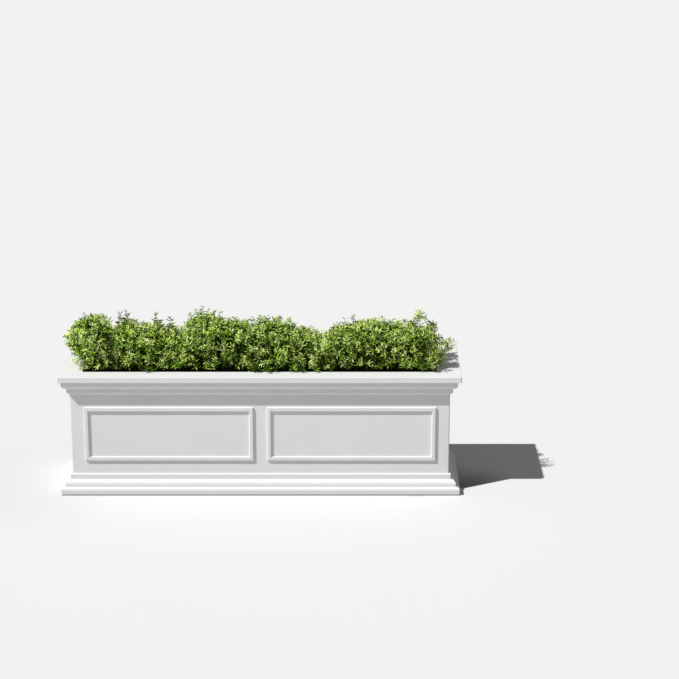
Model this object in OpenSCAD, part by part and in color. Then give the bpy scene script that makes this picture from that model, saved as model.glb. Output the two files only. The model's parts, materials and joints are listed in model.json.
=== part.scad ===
// Classical window box planter, built up from boards and mitred mouldings.
// The box stands on the floor with its front towards -Y and its length along X.
// Origin: on the floor, under the middle of the box. Millimetres.

/* [Box] */
// Length over the rim and over the lowest plinth course
box_len = 914; // [800:1:1100]
// Depth over the rim and over the lowest plinth course
box_depth = 240; // [225:1:300]
// Height from the floor to the top of the rim
box_height = 284; // [270:1:340]
// Thickness of the four wall boards
board_t = 16; // [12:0.5:18]
// How far the rim and the lowest course stand out from the wall boards
overhang = 25; // [22:0.5:28]
// Radius of the upright corners of the wall boards
corner_r = 2.5; // [1:0.5:5]
// Height of the rubber pads under the box
pad_h = 2.5; // [2:0.5:6]

/* [Rim] */
// Thickness of the rim boards
rim_t = 13.3; // [10:0.1:18]
// Width of the front and back rim boards
rim_front_w = 43.5; // [42:0.5:50]
// Width of the two end rim boards
rim_end_w = 54; // [50:0.5:58]
// Rounding of the rim's upper edges
rim_top_r = 1.4; // [1:0.1:3]
// Rounding of the rim's outer lower edge
rim_low_r = 0.8; // [0.5:0.1:4]

/* [Crown moulding] */
// Set-back of the crown's upper face from the rim's face
crown_set_back = 7.7; // [5:0.1:9]
// Height of the upright face above the ovolo
crown_face_h = 7; // [5:0.1:9]
// Radius of the quarter-round ovolo
ovolo_r = 12.6; // [8:0.1:14]
// Set-back of the flat band below the ovolo from the rim's face
band_set_back = 18.5; // [17:0.1:20]
// Height of the flat band
band_h = 11.8; // [9:0.1:14]
// Bevel of the flat band's lower edge
band_bevel = 2.4; // [1:0.1:4]
// Reach of the bead under the flat band, out from the wall
bead_out = 2.2; // [1.5:0.1:2.8]
// Height of the bead
bead_h = 3.5; // [3:0.1:6]

/* [Panel frames] */
// Width of a frame's moulding
frame_w = 10; // [9:0.5:18]
// How far a frame stands out from the wall
frame_out = 4.4; // [4.2:0.1:7]
// Bevel on both sides of the moulding
frame_bevel = 1.6; // [1.3:0.1:4]
// Plain wall below the frames and beside them
frame_margin = 31.2; // [24:0.2:36]
// Plain wall above the frames
frame_above = 30; // [24:0.5:36]
// Plain wall between the two frames of a long side
frame_gap = 30.4; // [20:0.2:40]
// Easing of the shoulder between the bevel and the flat top
frame_ease = 0.8; // [0.4:0.1:1.2]

/* [Plinth] */
// Height of the lowest course
low_course_h = 15.5; // [12:0.1:20]
// Rounding of its upper edge
low_course_r = 6.5; // [2:0.1:8]
// Height of the middle course
mid_course_h = 15; // [12:0.1:18]
// Set-back of the middle course from the lowest
mid_set_back = 8.6; // [6:0.1:10]
// Radius of its quarter-round nose
mid_course_r = 11; // [6:0.1:11]
// Height of the top course
top_course_h = 12.8; // [10:0.1:16]
// Reach of the top course, out from the wall
top_course_out = 5.2; // [4:0.1:7]
// Rounding of its upper edge
top_course_r = 2.5; // [1:0.1:3.5]

/* [Floor] */
// Height of the slats' underside above the floor that the box stands on
floor_z = 30; // [26:0.5:36]
// Thickness of the slats
floor_t = 12; // [9:0.5:15]
// Gap between two slats
slat_gap = 10; // [6:0.5:16]
// Width of the gap between slats under each drain of the liner
drain_gap = 40; // [32:1:50]
// Distance from the liner's ends to its drain holes
drain_in = 120; // [90:5:150]
// Height of the cleats under the slats
cleat_h = 18; // [14:0.5:20]
// Width of the cleats
cleat_w = 12; // [10:0.5:14]
// Screws in each cleat
screws_each = 5; // [3:1:7]
// Distance from the cleats' ends to the first screw
screw_in = 56; // [30:2:70]
// Diameter of a screw's shank
screw_d = 4; // [3:0.5:5]
// Running clearance round a screw
screw_gap = 0.05; // [0.02:0.01:0.1]
// Diameter of a rubber pad
pad_d = 28; // [20:1:34]

/* [Liner] */
// Wall of the liner
liner_wall = 3; // [2:0.5:4]
// Clearance between the liner and the opening, at each side
liner_gap = 2.5; // [1.5:0.5:5]
// Depth of the liner's top edge below the rim
liner_drop = 9; // [6:0.5:16]
// Height of the feet under the liner's bottom
liner_foot_h = 8; // [7.5:0.5:12]
// Height of the thickened lip round the liner's top edge
lip_h = 6; // [4:0.5:8]
// How far the lip stands out from the liner's wall
lip_out = 1.4; // [0.8:0.1:1.4]
// Width of the finger slots in the liner's ends
slot_w = 64; // [40:1:80]
// Height of the finger slots
slot_h = 11; // [9:0.5:14]
// Diameter of the stopper's shank
stopper_d = 14; // [10:0.5:18]
// Clearance round the stopper's shank
stopper_gap = 0.05; // [0.02:0.01:0.1]

/* [Planting] */
// Depth of the soil below the liner's finger slots
soil_drop = 4; // [2:0.5:10]
// Clearance round the soil and under the plants
soft_gap = 0.3; // [0.2:0.1:0.6]
// Height of the tallest plant above the rim
plant_h = 128; // [90:1:160]
// How far the leaves bulge over the rim at front and back
plant_bulge = 3; // [0:0.5:8]

/* [Hidden] */

$fn = 64;
white = "#f1f0ec";
black = "#1d1d1d";
soil_brown = "#2b2019";
leaf_green = "#6f9a35";

// Wall boards
wall_x = box_len / 2 - overhang;
wall_y = box_depth / 2 - overhang;
inner_x = wall_x - board_t;
inner_y = wall_y - board_t;
rim_z = box_height - rim_t;
wall_h = rim_z - pad_h;

// Opening inside the rim
open_x = box_len / 2 - rim_end_w;
open_y = box_depth / 2 - rim_front_w;

// Crown, from the rim's underside down
crown_out = overhang - crown_set_back;
band_out = overhang - band_set_back;
crown_h = crown_face_h + ovolo_r + band_h + bead_h;
crown_z = rim_z - crown_h;

// Plinth, from the pads up
mid_course_z = pad_h + low_course_h;
top_course_z = mid_course_z + mid_course_h;
plinth_z = top_course_z + top_course_h;
mid_course_out = overhang - mid_set_back;

// Panel frames fill the wall between plinth and crown, but for the margins
frame_z = plinth_z + frame_margin;
frame_h = crown_z - frame_above - frame_z;
frame_len = wall_x - frame_margin - frame_gap / 2;
frame_x = frame_gap / 2 + frame_len / 2;

// Liner
liner_x = min(open_x, inner_x) - liner_gap;
liner_y = min(open_y, inner_y) - liner_gap;
liner_r = 12;
liner_z = floor_z + floor_t;
liner_floor_z = liner_z + liner_foot_h;
liner_top = box_height - liner_drop;
liner_foot_w = 5;
slot_below_lip = 2;
slot_z = liner_top - lip_h - slot_below_lip - slot_h;
drain_x = liner_x - drain_in;

// Floor slats: one at each end, beyond the drain gaps, and four alike between them
slats = 6;
slat_field = drain_x - drain_gap / 2;
slat_w = (2 * slat_field - (slats - 3) * slat_gap) / (slats - 2);

// Corner posts stand in the corners of the walls, clear of the liner
post_gap = 2;
post_x = inner_x - liner_x - post_gap;
post_y = 15;

// Stopper
stopper_head_r = stopper_d / 2 + 5;
stopper_head_h = 3;
stopper_knob_r = 5;
stopper_knob_h = 4;
stopper_fillet = 1.5;

// Planting
soil_z = liner_floor_z + liner_wall;
soil_top = slot_z - soil_drop;
plant_z = soil_top + soft_gap;

screw_head_h = 2.4;
screw_end = 4;
screw_len = cleat_w + board_t - screw_end;
screw_span = 2 * (inner_x - screw_in);
pad_in = 20;
cut = 1;

// Carries a profile drawn in (y, z) along X, and one in (x, z) along Y
module along_x(len) rotate([90, 0, 90]) linear_extrude(len, center = true) children();
module along_y(len) rotate([90, 0, 0]) linear_extrude(len, center = true) children();
// Carries a profile along one side of the box, past both of its ends
module along_side(side)
    if (side == "front" || side == "back") along_x(box_len + 2 * cut) children();
    else along_y(box_depth + 2 * cut) children();
// Half the box across that side, less a set-back
function half_across(side, back) =
    (side == "front" || side == "back" ? box_depth : box_len) / 2 - back;

// Rectangle of half sizes hx, hy with round corners
module round_rect(hx, hy, r) {
    square([2 * hx, 2 * (hy - r)], center = true);
    square([2 * (hx - r), 2 * hy], center = true);
    for (x = [-1, 1], y = [-1, 1]) translate([x * (hx - r), y * (hy - r)]) circle(r);
}

// Plan of one side of a mitred surround: the strip between two rectangles
module mitre_plan(side, in_x, in_y, out_x, out_y) {
    s = (side == "front" || side == "left") ? -1 : 1;
    if (side == "front" || side == "back")
        polygon([[-in_x, s * in_y], [in_x, s * in_y], [out_x, s * out_y], [-out_x, s * out_y]]);
    else
        polygon([[s * in_x, -in_y], [s * in_x, in_y], [s * out_x, out_y], [s * out_x, -out_y]]);
}

// One side of a moulding that goes round the walls, cut at 45 degrees at both ends
module wall_moulding(side, z0, z1) intersection() {
    children();
    translate([0, 0, z0 - cut])
        linear_extrude(z1 - z0 + 2 * cut)
            mitre_plan(side, wall_x, wall_y, wall_x + overhang + cut, wall_y + overhang + cut);
}

// Long board with its two outer upright corners rounded
module wall_long(s) color(white) difference() {
    translate([0, s * (wall_y - board_t / 2), pad_h]) linear_extrude(wall_h) union() {
        translate([0, -s * corner_r / 2])
            square([2 * wall_x, board_t - corner_r], center = true);
        square([2 * (wall_x - corner_r), board_t], center = true);
        for (x = [-1, 1])
            translate([x * (wall_x - corner_r), s * (board_t / 2 - corner_r)]) circle(corner_r);
    }
    screws(s, screw_gap);
}

// End board, set between the long boards
module wall_end(s) color(white)
    translate([s * (wall_x - board_t / 2), 0, pad_h + wall_h / 2])
        cube([board_t, 2 * inner_y, wall_h], center = true);

// Post glued into a corner, from the end slat to the rim
module post(sx, sy) color(white)
    translate([sx * (inner_x - post_x / 2), sy * (inner_y - post_y / 2), (liner_z + rim_z) / 2])
        cube([post_x, post_y, rim_z - liner_z], center = true);

// Slat across the box, between the long walls; i counts from the left end
function slat_start(i) = i == 1 ? -inner_x
    : i == slats ? drain_x + drain_gap / 2 : -slat_field + (i - 2) * (slat_w + slat_gap);
function slat_end(i) = i == 1 ? -drain_x - drain_gap / 2
    : i == slats ? inner_x : slat_start(i) + slat_w;

module floor_slat(i) color(white) translate([slat_start(i), -inner_y, floor_z])
    cube([slat_end(i) - slat_start(i), 2 * inner_y, floor_t]);

module cleat(s) color(white) difference() {
    translate([0, s * (inner_y - cleat_w / 2), floor_z - cleat_h / 2])
        cube([2 * inner_x, cleat_w, cleat_h], center = true);
    screws(s, screw_gap);
}

// Countersunk screws from inside through the cleat on side s, with room round them
module screws(s, gap) {
    shank_r = screw_d / 2 + gap;
    for (i = [0 : screws_each - 1])
        translate([(i / (screws_each - 1) - 0.5) * screw_span, s * (inner_y - cleat_w),
                floor_z - cleat_h / 2])
            rotate([-s * 90, 0, 0]) {
                cylinder(h = screw_len + gap, r = shank_r);
                cylinder(h = screw_head_h, r1 = screw_d + gap, r2 = shank_r);
            }
}

module cleat_screws() color("silver") {
    screws(-1, 0);
    screws(1, 0);
}

// Six pads, under the long walls and the lowest course
module foot_pads() color(black)
    for (x = [-1, 0, 1], y = [-1, 1])
        translate([x * (box_len / 2 - 1.5 * pad_in - pad_d / 2), y * (box_depth / 2 - pad_in), 0])
            cylinder(h = pad_h, d = pad_d);

// Section of the rim over the whole box, with eased outer edges
module rim_section(half) {
    translate([-half, rim_low_r]) square([2 * half, rim_t - rim_low_r - rim_top_r]);
    translate([-half + rim_low_r, 0]) square([2 * (half - rim_low_r), rim_t / 2]);
    translate([-half + rim_top_r, rim_t / 2]) square([2 * (half - rim_top_r), rim_t / 2]);
    for (s = [-1, 1]) {
        translate([s * (half - rim_low_r), rim_low_r]) circle(rim_low_r);
        translate([s * (half - rim_top_r), rim_t - rim_top_r]) circle(rim_top_r);
    }
}

// Section of the opening, flared where the rim's inner upper edge is eased
module opening_section(half) polygon([[-half, -cut], [half, -cut], [half, rim_t - rim_top_r],
    [half + 0.3 * rim_top_r, rim_t - 0.3 * rim_top_r], [half + rim_top_r, rim_t],
    [half + rim_top_r, rim_t + cut], [-half - rim_top_r, rim_t + cut], [-half - rim_top_r, rim_t],
    [-half - 0.3 * rim_top_r, rim_t - 0.3 * rim_top_r], [-half, rim_t - rim_top_r]]);

// The mitres run from the corners of the opening to the outer corners
module rim(side) color(white) translate([0, 0, rim_z]) intersection() {
    difference() {
        along_side(side) rim_section(half_across(side, 0));
        along_side(side)
            opening_section(side == "front" || side == "back" ? open_y : open_x);
    }
    linear_extrude(rim_t) round_rect(box_len / 2, box_depth / 2, corner_r);
    translate([0, 0, -cut]) linear_extrude(rim_t + 2 * cut)
        mitre_plan(side, open_x - rim_end_w / 10, open_y - rim_front_w / 10,
            open_x + rim_end_w * 1.1, open_y + rim_front_w * 1.1);
}

// Section of the crown over the whole box: upright face, ovolo, flat band and bead; the band's
// face runs up to the ovolo's curve
module crown_section(half) {
    band_z = bead_h + band_h;
    face_z = band_z + ovolo_r;
    bevel = min(band_bevel, band_out / 2);
    translate([-half - crown_out, face_z]) square([2 * (half + crown_out), crown_face_h]);
    translate([-half - crown_out + ovolo_r, band_z])
        square([2 * (half + crown_out - ovolo_r), ovolo_r]);
    intersection() {
        translate([-half - crown_out, band_z]) square([2 * (half + crown_out), ovolo_r]);
        for (s = [-1, 1]) translate([s * (half + crown_out - ovolo_r), face_z]) circle(ovolo_r);
    }
    polygon([[-half - band_out, band_z + ovolo_r / 2], [-half - band_out, bead_h + bevel],
        [-half - band_out + bevel, bead_h], [half + band_out - bevel, bead_h],
        [half + band_out, bead_h + bevel], [half + band_out, band_z + ovolo_r / 2]]);
    for (s = [-1, 1]) translate([s * half, bead_out]) circle(bead_out);
    translate([-half - bead_out, bead_out]) square([2 * (half + bead_out), bead_h - bead_out]);
}

module crown(side) color(white) translate([0, 0, crown_z]) wall_moulding(side, 0, crown_h)
    along_side(side) crown_section(half_across(side, overhang));

// Section of a plinth course over the whole box, with its upper edges rounded
module course_section(half, h, r) {
    translate([-half, 0]) square([2 * half, h - r]);
    translate([-half + r, 0]) square([2 * (half - r), h]);
    for (s = [-1, 1]) translate([s * (half - r), h - r]) circle(r);
}

// A course's rounding never reaches in under the course above it
module course(side, z, h, out, r) color(white) translate([0, 0, z]) wall_moulding(side, 0, h)
    intersection() {
        along_side(side) course_section(half_across(side, overhang - out), h, r);
        linear_extrude(h) round_rect(wall_x + out, wall_y + out, corner_r);
    }

module plinth_low(side)
    course(side, pad_h, low_course_h, overhang, min(low_course_r, mid_set_back));
module plinth_mid(side) course(side, mid_course_z, mid_course_h, mid_course_out,
    min(mid_course_r, mid_course_out - top_course_out));
module plinth_top(side) course(side, top_course_z, top_course_h, top_course_out, top_course_r);

// Section of a panel frame's outline over its whole width: a steep bevel, an eased shoulder
// and the flat top; lean is 1 where it closes in and -1 where it opens out
module frame_section(half, lean, under) polygon([[-half, -under], [half, -under], [half, 0],
    [half - lean * frame_ease, frame_out - frame_ease], [half - lean * frame_bevel, frame_out],
    [half - lean * frame_bevel, frame_out + under], [-half + lean * frame_bevel, frame_out + under],
    [-half + lean * frame_bevel, frame_out], [-half + lean * frame_ease, frame_out - frame_ease],
    [-half, 0]]);

module frame_block(half_x, half_y, lean, under) intersection() {
    along_x(2 * half_x + 2 * frame_w) frame_section(half_y, lean, under);
    along_y(2 * half_y + 2 * frame_w) frame_section(half_x, lean, under);
}

// Picture-frame moulding that lies on z = 0, bevelled outside and inside
module panel_frame(len) difference() {
    frame_block(len / 2, frame_h / 2, 1, 0);
    frame_block(len / 2 - frame_w, frame_h / 2 - frame_w, -1, cut);
}

// Frame on a long side: sx picks the half, sy the side
module frame_long(sx, sy) color(white)
    translate([sx * frame_x, sy * wall_y, frame_z + frame_h / 2])
        rotate([-sy * 90, 0, 0]) panel_frame(frame_len);

// Liner: an open box with feet, a thick lip, two drain holes and a finger slot at each end
module liner() color(black) difference() {
    union() {
        translate([0, 0, liner_floor_z])
            linear_extrude(liner_top - liner_floor_z) round_rect(liner_x, liner_y, liner_r);
        translate([0, 0, liner_top - lip_h]) linear_extrude(lip_h)
            round_rect(liner_x + lip_out, liner_y + lip_out, liner_r + lip_out);
        // feet on both sides of each drain hole, and two near the middle
        for (x = [-5, -3, -1, 1, 3, 5]) translate([x / 4 * drain_x, 0, liner_z + liner_foot_h / 2])
            cube([liner_foot_w, 2 * (liner_y - liner_r), liner_foot_h], center = true);
    }
    translate([0, 0, liner_floor_z + liner_wall])
        linear_extrude(liner_top - liner_floor_z)
            round_rect(liner_x - liner_wall, liner_y - liner_wall, liner_r - liner_wall);
    for (s = [-1, 1]) {
        translate([s * drain_x, 0, liner_floor_z - cut])
            cylinder(h = liner_wall + 2 * cut, d = stopper_d);
        translate([s * (liner_x - liner_wall / 2), 0, slot_z + slot_h / 2])
            along_x(liner_wall + 2 * cut) {
                square([slot_w - slot_h, slot_h], center = true);
                for (y = [-1, 1]) translate([y * (slot_w - slot_h) / 2, 0]) circle(d = slot_h);
            }
    }
}

// Push-in stopper: shank in the liner's hole, flange under it, knob to pull
module stopper(s) color("dimgray") translate([s * drain_x, 0, liner_floor_z]) rotate_extrude() {
    square([stopper_d / 2 - stopper_gap, liner_wall]);
    translate([0, -stopper_head_h]) square([stopper_head_r - stopper_fillet, stopper_head_h]);
    translate([0, -stopper_head_h + stopper_fillet])
        square([stopper_head_r, stopper_head_h - stopper_fillet]);
    translate([stopper_head_r - stopper_fillet, -stopper_head_h + stopper_fillet])
        intersection() {
            circle(stopper_fillet);
            translate([0, -stopper_fillet]) square(stopper_fillet);
        }
    translate([0, -stopper_head_h - stopper_knob_h])
        square([stopper_knob_r, stopper_knob_h]);
}

module soil() color(soil_brown) translate([0, 0, soil_z]) linear_extrude(soil_top - soil_z)
    round_rect(liner_x - liner_wall - soft_gap, liner_y - liner_wall - soft_gap,
        liner_r - liner_wall - soft_gap);

// Where the plants meet, as parts of half the opening's length, and how high the leaves are
// there, as a part of the tallest; then the top of each mound between two such places
plant_edges = [-1.1, -0.842, -0.706, -0.478, -0.068, 0.321, 0.746, 1.1];
edge_heights = [0.62, 0.66, 0.7, 0.6, 0.71, 0.5, 0.73, 0.46];
mound_tops = [-0.95, -0.77, -0.588, -0.318, 0.06, 0.6, 0.89];
mound_heights = [0.87, 0.89, 0.84, 0.95, 0.77, 0.81, 0.74];
plant_gap = 1;
root_gap = 4;
root_x = liner_x - liner_wall - root_gap;
root_y = liner_y - liner_wall - root_gap;
stem_gap = 1;
leaf_z = box_height + stem_gap;
// rings of points from the rim up: height as a part of the mound's, and reach along the box
leaf_rings = [[0, 1], [0.1, 1], [0.22, 1], [0.36, 1], [0.5, 1], [0.62, 1], [0.72, 0.99], [0.81, 0.97],
    [0.88, 0.94], [0.935, 0.88], [0.97, 0.76], [0.99, 0.55], [0.998, 0.3]];
leaf_sides = 24;
plan_power = 2 / 3.4;
arch_power = 3;
end_reach = 0.5;
front_reach = 0.18;
lump_depth = 0.03;

function mix(a, b, k) = a + (b - a) * k;
function squared(v) = sign(v) * pow(abs(v), plan_power);
// above the rim the leaves swell outwards; u is 0 at the rim and 1 at the top of the mound
function swell(u, reach) = u < reach ? sin(90 * u / reach) : 1;
// and their section from front to back closes over in a round arch
function arch(u) = pow(1 - pow(u, arch_power), 1 / arch_power);
function lump(a, u, i) = 1 - lump_depth + lump_depth * sin(5 * a + 70 * i) * sin(400 * u + 40 * i);
// half of a plant's span, from the middle line to the edge on side s
function leaf_edge(i, s, u) =
    let (leaf = plant_edges[s < 0 ? i - 1 : i] * open_x - s * plant_gap / 2)
    mix(min(root_x, max(-root_x, leaf)), leaf, swell(u, end_reach));
// height of the mound at x: it falls off from its top to both places where plants meet
function mound_height(i, x) =
    let (top = mound_tops[i - 1] * open_x, k = x < top ? i - 1 : i,
        away = min(1, abs(x - top) / abs(plant_edges[k] * open_x - top)))
    plant_h * mix(mound_heights[i - 1], edge_heights[k], (1 - cos(180 * away)) / 2);

function leaf_point(i, ring, a) =
    let (u = ring[0], x0 = leaf_edge(i, -1, u), x1 = leaf_edge(i, 1, u),
        deep = mix(root_y, open_y + plant_bulge, swell(u, front_reach)) * arch(u) * lump(a, u, i),
        x = (x0 + x1) / 2 + (x1 - x0) / 2 * ring[1] * lump(a, u, i) * squared(cos(a)))
    [x, deep * squared(sin(a)), leaf_z + u * (mound_height(i, x) - stem_gap)];

// Root ball and stems below the rim, and the mound of leaves above it
module plant(i) {
    n = leaf_sides;
    root = [for (j = [0 : n - 1])
        let (p = leaf_point(i, leaf_rings[0], 360 * j / n)) [p[0], p[1], plant_z]];
    last = len(leaf_rings);
    tip_x = (leaf_edge(i, -1, 1) + leaf_edge(i, 1, 1)) / 2;
    points = concat(root, [for (ring = leaf_rings, j = [0 : n - 1]) leaf_point(i, ring, 360 * j / n)],
        [[tip_x, 0, box_height + mound_height(i, tip_x)]]);
    sides = [for (k = [0 : last - 1], j = [0 : n - 1], half = [0, 1])
        let (a = k * n + j, b = k * n + (j + 1) % n)
            half == 0 ? [a, a + n, b] : [b, a + n, b + n]];
    roof = [for (j = [0 : n - 1]) [last * n + j, (last + 1) * n, last * n + (j + 1) % n]];
    color(leaf_green)
        polyhedron(points, concat(sides, roof, [[for (j = [0 : n - 1]) j]]));
}

wall_long(-1);  // wall_front
wall_long(1);  // wall_back
wall_end(-1);  // wall_left
wall_end(1);  // wall_right
post(-1, -1);  // post_front_left
post(1, -1);  // post_front_right
post(-1, 1);  // post_back_left
post(1, 1);  // post_back_right
floor_slat(1);  // floor_slat_1
floor_slat(2);  // floor_slat_2
floor_slat(3);  // floor_slat_3
floor_slat(4);  // floor_slat_4
floor_slat(5);  // floor_slat_5
floor_slat(6);  // floor_slat_6
cleat(-1);  // cleat_front
cleat(1);  // cleat_back
cleat_screws();
foot_pads();
rim("front");  // rim_front
rim("back");  // rim_back
rim("left");  // rim_left
rim("right");  // rim_right
crown("front");  // crown_front
crown("back");  // crown_back
crown("left");  // crown_left
crown("right");  // crown_right
frame_long(-1, -1);  // frame_front_left
frame_long(1, -1);  // frame_front_right
frame_long(-1, 1);  // frame_back_left
frame_long(1, 1);  // frame_back_right
plinth_low("front");  // plinth_low_front
plinth_low("back");  // plinth_low_back
plinth_low("left");  // plinth_low_left
plinth_low("right");  // plinth_low_right
plinth_mid("front");  // plinth_mid_front
plinth_mid("back");  // plinth_mid_back
plinth_mid("left");  // plinth_mid_left
plinth_mid("right");  // plinth_mid_right
plinth_top("front");  // plinth_top_front
plinth_top("back");  // plinth_top_back
plinth_top("left");  // plinth_top_left
plinth_top("right");  // plinth_top_right
liner();
stopper(-1);  // stopper_left
stopper(1);  // stopper_right
soil();
plant(1);  // plant_1
plant(2);  // plant_2
plant(3);  // plant_3
plant(4);  // plant_4
plant(5);  // plant_5
plant(6);  // plant_6
plant(7);  // plant_7
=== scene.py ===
import bpy
import json
import math
import numpy as np
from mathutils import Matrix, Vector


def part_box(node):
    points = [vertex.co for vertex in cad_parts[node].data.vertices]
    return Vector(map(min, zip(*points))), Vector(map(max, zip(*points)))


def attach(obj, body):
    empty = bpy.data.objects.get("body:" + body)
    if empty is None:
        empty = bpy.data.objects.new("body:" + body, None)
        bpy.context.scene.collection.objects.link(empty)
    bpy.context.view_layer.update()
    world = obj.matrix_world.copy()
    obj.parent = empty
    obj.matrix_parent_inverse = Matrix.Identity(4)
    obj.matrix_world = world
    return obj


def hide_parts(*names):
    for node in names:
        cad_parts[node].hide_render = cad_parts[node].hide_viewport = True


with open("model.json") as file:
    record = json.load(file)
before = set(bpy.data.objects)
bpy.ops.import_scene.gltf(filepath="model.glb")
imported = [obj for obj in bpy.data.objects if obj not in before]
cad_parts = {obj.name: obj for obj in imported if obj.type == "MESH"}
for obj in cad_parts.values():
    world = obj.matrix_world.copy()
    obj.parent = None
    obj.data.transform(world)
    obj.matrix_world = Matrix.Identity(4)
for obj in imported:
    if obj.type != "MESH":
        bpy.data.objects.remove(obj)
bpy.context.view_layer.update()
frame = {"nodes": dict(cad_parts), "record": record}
nodes = frame["nodes"]
mm = 0.001                    # shapes are worked out in millimetres and made in metres
print("planter: frame loaded,", len(nodes), "nodes")


# camera: a long lens on the axis of the box, to the right of its middle
view = {
    "place": (0.18098, -4.6569, 1.7401),
    "pitchDown": 16.763,      # degrees
    "lens": 112.18,           # mm
    "sensor": 36,             # mm across
    "farEnd": 100,            # metres
}

scene = bpy.context.scene
scene.view_settings.view_transform = "Standard"

camData = bpy.data.cameras.new("camera")
camData.sensor_width = view["sensor"]
camData.lens = view["lens"]
camData.clip_end = view["farEnd"]
camera = bpy.data.objects.new("camera", camData)
camera.location = view["place"]
camera.rotation_euler = (math.radians(90 - view["pitchDown"]), 0, 0)
scene.collection.objects.link(camera)
bpy.context.scene.camera = camera


# node helpers, which every material below uses
def addNode(tree, kind, inputs=None, **settings):
    # one node: an input that is another node's output is linked, and any other value is set on it
    node = tree.nodes.new(kind)
    for key, value in settings.items():
        setattr(node, key, value)
    for key, value in (inputs or {}).items():
        if isinstance(value, bpy.types.NodeSocket):
            tree.links.new(value, node.inputs[key])
        else:
            node.inputs[key].default_value = value
    return node


def addMath(tree, operation, a, b):
    # one number out of two, such as their sum or the greater of them
    return addNode(tree, "ShaderNodeMath", {0: a, 1: b}, operation=operation).outputs[0]


def measure(tree, operation, spot, other):
    # DISTANCE is the length of spot - other, and DOT_PRODUCT the sum of their products by axis
    both = addNode(tree, "ShaderNodeVectorMath", {0: spot, 1: other}, operation=operation)
    return both.outputs["Value"]


def addRange(tree, value, ends, results=(0.0, 1.0), curve="LINEAR"):
    # the first result at the first end and the second at the second, with a straight line or an S
    # between the two ends, and the same result held beyond each
    inputs = {"Value": value, "From Min": ends[0], "From Max": ends[1],
              "To Min": results[0], "To Max": results[1]}
    return addNode(tree, "ShaderNodeMapRange", inputs, interpolation_type=curve).outputs[0]


def addNoise(tree, spot, scale, detail, roughness=0.5):
    # noise from 0 to 1 with scale cells to the metre; each step of detail halves the cells and
    # adds roughness times the step before
    inputs = {"Vector": spot, "Scale": scale, "Detail": detail, "Roughness": roughness}
    return addNode(tree, "ShaderNodeTexNoise", inputs).outputs["Fac"]


def addRamp(tree, fac, stops):
    # each stop's colour where fac is at its place, and a straight blend from one to the next
    ramp = addNode(tree, "ShaderNodeValToRGB", {"Fac": fac})
    line = ramp.color_ramp
    while len(line.elements) < len(stops):
        line.elements.new(0.5)
    for element, (place, color) in zip(line.elements, stops):
        element.position = place
        element.color = (*color, 1)
    return ramp.outputs["Color"]


def mixColors(tree, fac, a, b, blend="MIX"):
    # MIX is (1 - fac) a + fac b, and MULTIPLY is (1 - fac) a + fac a b
    node = addNode(tree, "ShaderNodeMix", {0: fac, 6: a, 7: b}, data_type="RGBA", blend_type=blend)
    return node.outputs[2]


def addBump(tree, shader, height, strength, distance):
    # the surface tilts as if height times distance, in metres, stood on it, by the share strength
    inputs = {"Height": height, "Strength": strength, "Distance": distance}
    bump = addNode(tree, "ShaderNodeBump", inputs)
    tree.links.new(bump.outputs["Normal"], shader.inputs["Normal"])


def seenDirectly(tree):
    # 1 for what the camera, a gloss or a glass sees and 0 for light on its way round the studio:
    # the greatest of the three Light Path values
    path = addNode(tree, "ShaderNodeLightPath").outputs
    seen = addMath(tree, "MAXIMUM", path["Is Camera Ray"], path["Is Glossy Ray"])
    return addMath(tree, "MAXIMUM", seen, path["Is Transmission Ray"])


def startMaterial(name):
    # a new material: its tree, its one shader, and the surface's own point in object coordinates
    mat = bpy.data.materials.new(name)
    mat.use_nodes = True
    tree = mat.node_tree
    shader = tree.nodes["Principled BSDF"]
    spot = addNode(tree, "ShaderNodeTexCoord").outputs["Object"]
    return mat, tree, shader, spot


def coat(piece, mat):
    # the piece's one material, in the place of any other
    piece.data.materials.clear()
    piece.data.materials.append(mat)


# mesh helpers
def makeMesh(name, points, faces, values=None):
    # points and faces are whole arrays, and so is each attribute in values, one number to a point
    mesh = bpy.data.meshes.new(name)
    corners = faces.shape[1]
    mesh.vertices.add(len(points))
    mesh.vertices.foreach_set("co", np.ascontiguousarray(points, np.float32).ravel())
    mesh.loops.add(faces.size)
    mesh.loops.foreach_set("vertex_index", np.ascontiguousarray(faces, np.int32).ravel())
    mesh.polygons.add(len(faces))
    mesh.polygons.foreach_set("loop_start", np.arange(0, faces.size, corners, dtype=np.int32))
    for key, row in (values or {}).items():
        attribute = mesh.attributes.new(key, "FLOAT", "POINT")
        attribute.data.foreach_set("value", row.astype(np.float32))
    mesh.update(calc_edges=True)
    mesh.validate()
    piece = bpy.data.objects.new(name, mesh)
    scene.collection.objects.link(piece)
    return piece


def ringTriangles(rings, count):
    # point j of ring k is number k count + j; each four-sided gap to the next ring is two triangles
    k, j = np.meshgrid(np.arange(rings - 1), np.arange(count), indexing="ij")
    a, b = k * count + j, k * count + (j + 1) % count
    return np.vstack([np.stack([a, b, b + count], -1).reshape(-1, 3),
                      np.stack([a, b + count, a + count], -1).reshape(-1, 3)])


def copyFaces(faces, size, copies):
    # the same faces for each copy: copy k adds k times size to the numbers of the points
    return (faces[None] + size * np.arange(copies)[:, None, None]).reshape(-1, 3)


def unit(v):
    # each vector divided by its own length
    return v / np.maximum(np.linalg.norm(v, axis=-1, keepdims=True), 1e-9)


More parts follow.
